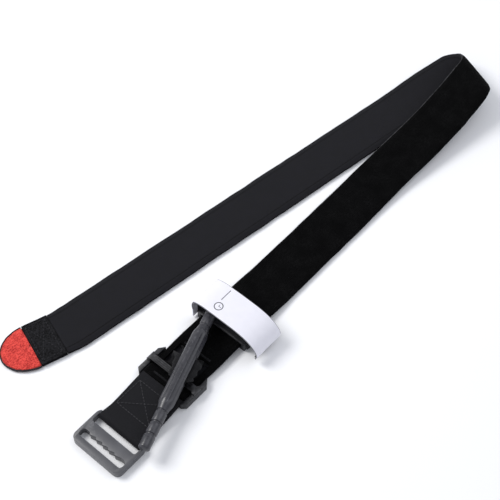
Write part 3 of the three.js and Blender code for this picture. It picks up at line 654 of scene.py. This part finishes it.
# %% [markdown]
# ## The sleeve
# The sleeve is two strips sewn edge to edge with the band running free between them. The pile face is
# uppermost on the main leg, and the smooth lining on the leg that returns. Towards both edges the two come
# together, so each level falls in a curve over the last few millimetres instead of leaving a square edge.

# %% The layers' heights
HALF = STRAP_WIDTH / 2
LINING_MIDDLE = -HALF_STACK + LINING / 2
FACE_MIDDLE = HALF_STACK - FACE / 2
SIDE_DROP = 0.75
columns = [w * HALF for w in (-1, -0.985, -0.96, -0.92, -0.86, -0.76, -0.55, -0.3, 0)]
columns += [-w for w in reversed(columns[:-1])]


def side_fall(w):
    return SIDE_DROP * smooth((abs(w) - (HALF - 4)) / 3.7) ** 1.5


def sleeve_width(distance):
    """The edges waver a little, and the strap is squeezed by the keeper and where it ends at the tip's
    patches.
    """
    place = STRAP_START + distance
    held = math.exp(-((place / 16) ** 2)) * 0.03 if distance < 120 else 0
    squeezed = 0.05 * math.exp(-(((SLEEVE_END - distance) / 7) ** 2))
    waver = 0.016 * noise.noise(Vector((distance / 17, 0, 5.5)))
    waver += 0.009 * noise.noise(Vector((distance / 6, 0, 1.5)))
    return 1 - 0.014 - held - squeezed + waver


SLEEVE_END = STRAP_LENGTH - PATCH_LENGTH - GAP
FACE_START = -11 + 2 * GAP - STRAP_START


def crease(distance):
    """Two dents across the sleeve just before the tip's patch."""
    back = SLEEVE_END - distance
    return -0.55 * math.exp(-(((back - 4.5) / 1.1) ** 2)) - 0.4 * math.exp(-(((back - 9.5) / 1.2) ** 2))


def face_level(distance, w):
    return FACE_MIDDLE - side_fall(w) + ripple(distance, w, 0.3) * min(1, abs(SLEEVE_END - distance) / 20)


def lining_level(distance, w):
    return LINING_MIDDLE + side_fall(w) + ripple(distance, w, 0.4) + 0.2 - crease(distance) * 0.8


# %% The face, with its opening for the band, and the lining
OPENING = (4.2, 21.0)
face_stations = stretch(FACE_START, SLEEVE_END)
sleeve_face = sheet_along(
    "sleeve_face_cloth", face_stations, columns, face_level, FACE - 0.25, pile, sleeve_width
)
bpy.ops.mesh.primitive_cube_add(size=1, location=(sum(OPENING) / 2 * MM, 0, 4.6 * MM))
opening_tool = bpy.context.object
opening_tool.scale = ((OPENING[1] - OPENING[0]) * MM, 26.5 * MM, 3 * MM)
bpy.ops.object.transform_apply(location=True, rotation=True, scale=True)
opening_cut = sleeve_face.modifiers.new("opening", "BOOLEAN")
opening_cut.object = opening_tool
opening_cut.solver = "EXACT"
apply_all(sleeve_face)
bpy.data.objects.remove(opening_tool)
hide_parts("sleeve_face")
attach(sleeve_face, "strap")

sleeve_lining = sheet_along(
    "sleeve_lining_cloth", stretch(0, SLEEVE_END), columns, lining_level, LINING - 0.15, sleeve_nylon,
    sleeve_width,
)
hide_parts("sleeve_lining")
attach(sleeve_lining, "strap")
print("sleeve faces:", len(sleeve_face.data.polygons), len(sleeve_lining.data.polygons))


# %% [markdown]
# The two layers are joined along each side by a turned-in seam. It is a narrow woven tape that shows as a
# fine ribbed line between them, so it is a slim strip a little inside the edge.

# %% The seams along both sides
def seam(name, side, node):
    inner, outer = side * (HALF - 2.6), side * (HALF - 0.55)
    places = [inner + (outer - inner) * t / 3 for t in range(4)]
    piece = sheet_along(name, stretch(2, SLEEVE_END), places, lambda d, w: -0.2 + ripple(d, w, 0.22), 0.9,
                        webbing, sleeve_width)
    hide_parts(node)
    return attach(piece, "strap")


seam("seam_left", 1, "seam_tape_left")
seam("seam_right", -1, "seam_tape_right")

for node in ("inner_band_front", "inner_band_rear"):
    nodes[node].data.materials.clear()
    nodes[node].data.materials.append(webbing)

# %% [markdown]
# ## Moulded pieces
# An injection-moulded piece never has a knife edge: every corner has a small radius that catches the light.
# So each plastic piece is a copy of its CAD node with its doubles merged, its flat faces dissolved, and a
# bevel on every sharp edge.

# %% The softened copy
def select_only(piece):
    bpy.ops.object.select_all(action="DESELECT")
    piece.select_set(True)
    bpy.context.view_layer.objects.active = piece


def moulded_copy(node, name, body, radius, paint, slot, segments=3):
    piece = bpy.data.objects.new(name, nodes[node].data.copy())
    bpy.context.collection.objects.link(piece)
    select_only(piece)
    bpy.ops.object.mode_set(mode="EDIT")
    bpy.ops.mesh.select_all(action="SELECT")
    bpy.ops.mesh.remove_doubles(threshold=0.00001)
    bpy.ops.mesh.dissolve_limited(angle_limit=math.radians(1))
    bpy.ops.object.mode_set(mode="OBJECT")
    rounding = piece.modifiers.new("rounding", "BEVEL")
    rounding.width = radius * MM
    rounding.segments = segments
    rounding.limit_method = "ANGLE"
    rounding.angle_limit = math.radians(35)
    rounding.harden_normals = False
    apply_all(piece)
    bpy.ops.object.shade_smooth_by_angle(angle=math.radians(40))
    piece.data.materials.clear()
    piece.data.materials.append(paint)
    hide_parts(node)
    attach(piece, body)
    print(name, len(piece.data.polygons), "faces")
    return piece


MOULDED = [
    ("buckle_frame", "buckle_moulding", "buckle", 0.7, buckle_grey, "grey_plastic", 3),
    ("keeper_frame", "keeper_moulding", "strap", 0.28, black_plastic, "black_plastic", 2),
    ("stabiliser_plate", "stabiliser_moulding", "strap", 0.35, black_plastic, "black_plastic", 3),
    ("windlass_clip", "clip_moulding", "strap", 0.5, black_plastic, "black_plastic", 3),
    ("windlass_rod", "rod_moulding", "windlass", 0.3, rod_grey, "grey_plastic", 3),
    ("clip_pad_left", "pad_left_cloth", "strap", 0.3, hook_tape, "hook_tape", 2),
    ("clip_pad_right", "pad_right_cloth", "strap", 0.3, hook_tape, "hook_tape", 2),
]
for details in MOULDED:
    moulded_copy(*details)

# %% [markdown]
# ## Straps that bend on their own line
# The turned-back end, the band through the rod and the white strap each follow a curve of their own. A
# curve through a few places gives the stations, and the same sheet maker lays the cloth on them.

# %% A smooth curve through a few places
def curve_points(places, per_gap):
    """A centripetal curve through places, with per_gap steps between each two."""
    ends = [places[0] * 2 - places[1], *places, places[-1] * 2 - places[-2]]
    levels = ([(0, 1), (1, 2), (2, 3)], [(0, 2), (1, 3)], [(1, 2)])
    points = []
    for i in range(len(places) - 1):
        row = ends[i : i + 4]
        knots = [0.0]
        for a, b in zip(row, row[1:]):
            knots.append(knots[-1] + max((b - a).length, 1e-4) ** 0.5)
        for k in range(per_gap):
            t = knots[1] + (knots[2] - knots[1]) * k / per_gap
            mixed = row
            for spans in levels:
                shares = [(t - knots[m]) / (knots[n] - knots[m]) for m, n in spans]
                mixed = [a.lerp(b, share) for a, b, share in zip(mixed, mixed[1:], shares)]
            points.append(mixed[0])
    return points + [places[-1]]


# %% The turned-back end, over the strap, round the buckle's bar and back under it
STRAP_MIDDLE = PLATE_RISE + HALF_STACK
WRAP = 1.9 + GAP + 0.5
TURNBACK_TOP = STRAP_MIDDLE + HALF_STACK - FACE + 0.5
over = [Vector((x, main_leg(x).y, TURNBACK_TOP)) for x in steps(-11, -44, 30)]
wrap = [
    Vector((BAR_X + WRAP * math.cos(a), BUCKLE_SIDE, STRAP_MIDDLE + WRAP * math.sin(a)))
    for a in (math.radians(degrees) for degrees in steps(80, 280, 20))
]
under = [Vector((STRAP_START - 2 * GAP, BUCKLE_SIDE, PLATE_RISE + 0.5))]
turnback_stations = stations_through(over + wrap + under, lambda i, along: Vector((0, -1, 0)))
TURNBACK_HALF = 18
turnback_columns = [w * TURNBACK_HALF for w in (-1, -0.97, -0.9, -0.6, -0.3, 0, 0.3, 0.6, 0.9, 0.97, 1)]


def turnback_level(distance, w):
    flat = 1 if distance < 33 else 0
    return flat * (ripple(distance, w, 0.18) - 0.25 * smooth((abs(w) - 16) / 2))


turnback = sheet_along("turnback_cloth", turnback_stations, turnback_columns, turnback_level, 0.9, nylon)
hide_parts("buckle_turnback")
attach(turnback, "strap")
print("turn-back cloth:", len(turnback.data.polygons), "faces")


# %% The band through the rod's slot, gathered where it twists
ROD_YAW, PIVOT, ROD_HEIGHT = 19.2, (4.5, -5.2), 13.4
BAND_Z = STRAP_MIDDLE - HALF_STACK + LINING + GAP + BAND / 2
rod_yaw = math.radians(ROD_YAW)


def by_rod(along, beside, below):
    return Vector((PIVOT[0] + along * math.cos(rod_yaw) - beside * math.sin(rod_yaw),
                   PIVOT[1] + along * math.sin(rod_yaw) + beside * math.cos(rod_yaw), ROD_HEIGHT - below))


LOOP = [
    (Vector((5.8, 0, BAND_Z)), 90, 21), (Vector((7.4, 0.2, BAND_Z + 0.5)), 90, 19),
    (Vector((9.2, 3.4, BAND_Z + 2.4)), 84, 14), (Vector((9.0, 5.2, BAND_Z + 5)), 58, 13),
    (by_rod(4.2, 8.5, 2.4), 38, 15), (by_rod(1.5, 7.8, 0.5), ROD_YAW + 3, 16),
    (by_rod(0.3, 6.4, 0), ROD_YAW, 18), (by_rod(0, 0, 0), ROD_YAW, 18), (by_rod(0, -6.4, 0), ROD_YAW, 18),
    (by_rod(0.6, -8, 0.8), ROD_YAW, 16), (by_rod(2, -8.7, 3.2), 15, 14), (by_rod(4.5, -7.3, 5.7), 0, 12),
    (by_rod(8.5, -4.2, 6.9), -25, 12), (Vector((16.1, -3, BAND_Z + 2.5)), -55, 12),
    (Vector((18, -0.7, BAND_Z + 0.7)), -80, 16), (Vector((19.4, 0, BAND_Z)), -90, 21),
]
LOOP_STEPS = 8
BAND_WIDTH = 25
loop_points = curve_points([point for point, yaw, width in LOOP], LOOP_STEPS)


def loop_value(i, column):
    k = min(len(LOOP) - 2, i // LOOP_STEPS)
    share = smooth(i / LOOP_STEPS - k)
    return LOOP[k][column] * (1 - share) + LOOP[k + 1][column] * share


def loop_across(i, along):
    yaw = math.radians(loop_value(i, 1))
    return Vector((math.cos(yaw), math.sin(yaw), 0)) * loop_value(i, 2) / BAND_WIDTH


loop_stations = stations_through(loop_points, loop_across)
loop_ends = loop_stations[-1][3]
across_band = (-1, -0.96, -0.85, -0.7, -0.5, -0.25, 0, 0.25, 0.5, 0.7, 0.85, 0.96, 1)
band_columns = [w * BAND_WIDTH / 2 for w in across_band]


def loop_level(distance, w):
    held = math.exp(-(((distance - 0.47 * loop_ends) / 7) ** 2))
    free = smooth(min(distance, loop_ends - distance) / 9) * (1 - held)
    return free * (0.7 * math.sin(w * 0.62 + distance * 0.1) + ripple(distance, w, 0.5))


band_loop = sheet_along("band_loop_cloth", loop_stations, band_columns, loop_level, 0.9, webbing)
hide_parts("windlass_loop")
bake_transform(band_loop)

# %% The white strap: a sewn end on the clip's side, and the part that arches over the hooks
CLIP_X, CLIP_SIDE, HINGE_Z, HOOK_TOP = 57, 23.75, 9.2, 20.1
FLAP_UNDER = HOOK_TOP + GAP + 0.45
FLAP = [
    (CLIP_SIDE, HINGE_Z), (CLIP_SIDE + 0.5, HINGE_Z + 4.5), (CLIP_SIDE - 1.2, FLAP_UNDER - 1.6),
    (CLIP_SIDE - 7.5, FLAP_UNDER + 0.7), (8, FLAP_UNDER + 1.1), (-5, FLAP_UNDER + 1), (-16, FLAP_UNDER + 0.5),
    (-24.6, FLAP_UNDER - 1.4), (-31, FLAP_UNDER - 5.4), (-34.2, FLAP_UNDER - 11), (-33.2, FLAP_UNDER - 16),
]
flap_points = curve_points([Vector((CLIP_X, y, z)) for y, z in FLAP], 7)
flap_stations = stations_through(flap_points, lambda i, along: Vector((1, 0, 0)))
FLAP_WIDTH = 25
across_flap = (-1, -0.985, -0.95, -0.85, -0.6, -0.3, 0, 0.3, 0.6, 0.85, 0.95, 0.985, 1)
flap_columns = [w * FLAP_WIDTH / 2 for w in across_flap]
flap_length = flap_stations[-1][3]


def flap_level(distance, w):
    free = smooth(distance / 12)
    wave = 0.18 * noise.noise(Vector((distance / 18, w / 20, 2.2)))
    return free * (wave - 0.12 * smooth((abs(w) - 11) / 1.5))


flap = sheet_along("time_strap_cloth", flap_stations, flap_columns, flap_level, 0.8, time_tape)
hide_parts("time_strap_face")
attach(flap, "time_flap")
backing_stations = [s for s in flap_stations if s[3] > flap_length * 0.735]
backing = sheet_along("time_backing_cloth", backing_stations, [w * 0.92 for w in flap_columns],
                      lambda d, w: -1.15 + flap_level(d, w), 0.7, hook_tape)
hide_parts("time_strap_backing")
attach(backing, "time_flap")
anchor_points = [Vector((CLIP_X, CLIP_SIDE, z)) for z in steps(1.2, HINGE_Z - GAP, 10)]
anchor_stations = stations_through(anchor_points, lambda i, along: Vector((1, 0, 0)))
anchor = sheet_along(
    "time_anchor_cloth", anchor_stations, flap_columns, lambda d, w: 0, 0.8, white_tape
)
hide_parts("time_strap_anchor")
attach(anchor, "strap")
print("white strap length, mm:", round(flap_length, 1))

# %% [markdown]
# ## The tip
# The sleeve ends between two rectangles of rough tape, and the red felt tab is sewn into them. The tab is a
# domed half-round, with a dark bound rim round its edge.

# %% The patches and the red tab
TIP_SIDE = Vector((-TIP_ALONG.y, TIP_ALONG.x, 0))


def at_tip(along, aside, z):
    return Vector((TIP_X, TIP_Y, z)) + TIP_ALONG * along + TIP_SIDE * aside


def patch(name, node, middle, thickness, lump):
    rows, uvs = [], []
    for along in steps(-PATCH_LENGTH, 0, 40):
        places = [w * (HALF - 1) / 24 for w in range(-24, 25)]
        heights = [middle + lump * noise.noise(Vector((along / 5, w / 5, 1.7))) for w in places]
        rows.append([at_tip(along, w, z) for w, z in zip(places, heights)])
        uvs.append([(w / 10, along / 10) for w in places])
    piece = grid_mesh(name, rows, uvs)
    piece.data.materials.append(patch_tape)
    thicken(piece, thickness * MM)
    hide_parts(node)
    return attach(piece, "strap")


patch("patch_under_cloth", "tip_patch_under", 0.65, 1.1, 0.0)
patch("patch_top_cloth", "tip_patch_top", 3.1, 0.9, 0.28)


def built_piece(build, name, node, paint, body):
    """A smooth, painted piece from a finished bmesh, tied to its node and its body."""
    bmesh.ops.recalc_face_normals(build, faces=build.faces)
    mesh = bpy.data.meshes.new(name)
    build.to_mesh(mesh)
    build.free()
    piece = bpy.data.objects.new(name, mesh)
    bpy.context.collection.objects.link(piece)
    for face in mesh.polygons:
        face.use_smooth = True
    mesh.materials.append(paint)
    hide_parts(node)
    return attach(piece, body)


TAB_STEPS = 64


def domed_tab(name, node, length, half_width, low, high, paint, hollow=0.0):
    """A half-round cushion, or only its rim where hollow is the share left out of its middle."""
    build = bmesh.new()
    rings = [hollow + (1 - hollow) * t for t in (0, 0.25, 0.5, 0.7, 0.85, 0.94, 1)]
    if not hollow:
        rings[0] = 0.02
    layers = []
    for top in (True, False):
        layer = []
        for ring in rings:
            if hollow:
                puff = math.sqrt(max(0, 1 - ((ring - hollow) / (1 - hollow) * 2 - 1) ** 2))
            else:
                puff = math.sqrt(max(0, 1 - ring**6))
            z = (low + high) / 2 + (1 if top else -1) * (high - low) / 2 * max(puff, 0.12)
            row = []
            for k in range(TAB_STEPS + 1):
                angle = -math.pi / 2 + math.pi * k / TAB_STEPS
                fuzz = 1 + 0.012 * noise.noise(Vector((k / 3, ring * 4, 6.6)))
                out = GAP + length * ring * math.cos(angle) * fuzz
                aside = half_width * ring * math.sin(angle) * fuzz
                row.append(build.verts.new(at_tip(out, aside, z) * MM))
            layer.append(row)
        layers.append(layer)
    for top, layer in zip((True, False), layers):
        for a, b in zip(layer, layer[1:]):
            for k in range(TAB_STEPS):
                corners = (a[k], b[k], b[k + 1], a[k + 1])
                build.faces.new(corners if top else corners[::-1])
    for index in (0, -1):
        for k in range(TAB_STEPS):
            over, under = layers[0][index], layers[1][index]
            corners = (over[k], under[k], under[k + 1], over[k + 1])
            build.faces.new(corners if index == -1 else corners[::-1])
    for k in (0, TAB_STEPS):
        for i in range(len(rings) - 1):
            corners = (layers[0][i][k], layers[1][i][k], layers[1][i + 1][k], layers[0][i + 1][k])
            build.faces.new(corners if k == 0 else corners[::-1])
    return built_piece(build, name, node, paint, "strap")


tab = domed_tab("tab_felt", "tip_tab", 21.4, 17.4, 0.7, 3.0, felt)
binding = domed_tab(
    "tab_binding", "tip_binding", 22.2, 18.1, 0.5, 2.7, thread_black, hollow=0.955
)
print("tab faces:", len(tab.data.polygons), len(binding.data.polygons))

# %% [markdown]
# ## Stitching
# Sewn thread shows as short plump stitches with a small gap between them. One stitch is a low swollen bead,
# and a seam is that bead copied along a line, turned to it.

# %% The stitch maker
BEAD_SIDES = 8


def stitch_lines(name, node, lines, paint, body, pitch=2.4, length=1.9, width=0.5, height=0.36):
    """Beads along lines in millimetres. Each line is a start, an end and the way out of the cloth."""
    build = bmesh.new()
    count = 0
    for start, end, out in lines:
        way = (end - start).normalized()
        side = out.cross(way).normalized()
        total = (end - start).length
        number = max(1, int(total / pitch))
        for k in range(number):
            middle = start + way * (total * (k + 0.5) / number)
            rings = []
            for t in (-1, -0.8, -0.35, 0.35, 0.8, 1):
                size = max(0.15, math.sqrt(1 - t * t * 0.96))
                rings.append([
                    build.verts.new((middle + way * t * length / 2 + side * width / 2 * size * math.cos(a)
                                     + out * height / 2 * (size * math.sin(a) + 1)) * MM)
                    for a in (math.tau * j / BEAD_SIDES for j in range(BEAD_SIDES))
                ])
            for a, b in zip(rings, rings[1:]):
                for j in range(BEAD_SIDES):
                    after = (j + 1) % BEAD_SIDES
                    build.faces.new((a[j], b[j], b[after], a[after]))
            build.faces.new(rings[0])
            build.faces.new(rings[-1][::-1])
            count += 1
    print(name, count, "stitches")
    return built_piece(build, name, node, paint, body)


def box_lines(corner, along, aside, out):
    """A stitched box and its cross, from a corner and two sides."""
    a, b, c, d = corner, corner + along, corner + along + aside, corner + aside
    return [(a, b, out), (b, c, out), (c, d, out), (d, a, out), (a, c, out), (b, d, out)]


UP = Vector((0, 0, 1))
stitch_lines(
    "turnback_sewing", "turnback_stitching",
    box_lines(Vector((-40, -16, 5.3)), Vector((22, 0, 0)), Vector((0, 30, 0)), UP), thread_grey, "strap",
)
stitch_lines(
    "tip_sewing", "tip_stitching",
    box_lines(at_tip(-PATCH_LENGTH + 2.5, 3.5 - HALF, 3.66), TIP_ALONG * 14.5, TIP_SIDE * 30, UP),
    thread_black, "strap",
)


def bar_tack(name, node, middle, way, out, reach, half_width, body, paint):
    """Close stitches side by side, across a line."""
    cross = out.cross(way).normalized() * half_width
    places = [middle + way * t for t in steps(-reach, reach, int(reach * 2.4))]
    lines = [(place - cross, place + cross, out) for place in places]
    return stitch_lines(name, node, lines, paint, body, pitch=half_width * 2, length=half_width * 2)


TACK_TOP = PLATE_RISE + STACK + 0.05
ANCHOR_OUTSIDE, ANCHOR_MIDDLE = 24.22, 3.9
TACKS = [
    ("tack_rear", "slot_tack_rear", (23.2, 0, TACK_TOP), (0, 1, 0), (0, 0, 1), 11.2, 0.8),
    ("tack_front", "slot_tack_front", (-7, 0, TACK_TOP), (0, 1, 0), (0, 0, 1), 11.2, 0.8),
    ("tack_side", "anchor_tack", (CLIP_X, ANCHOR_OUTSIDE, ANCHOR_MIDDLE), (1, 0, 0), (0, 1, 0), 8.8, 0.5),
]
for name, node, middle, way, out, reach, half_width in TACKS:
    bar_tack(name, node, Vector(middle), Vector(way), Vector(out), reach, half_width, "strap", thread_black)
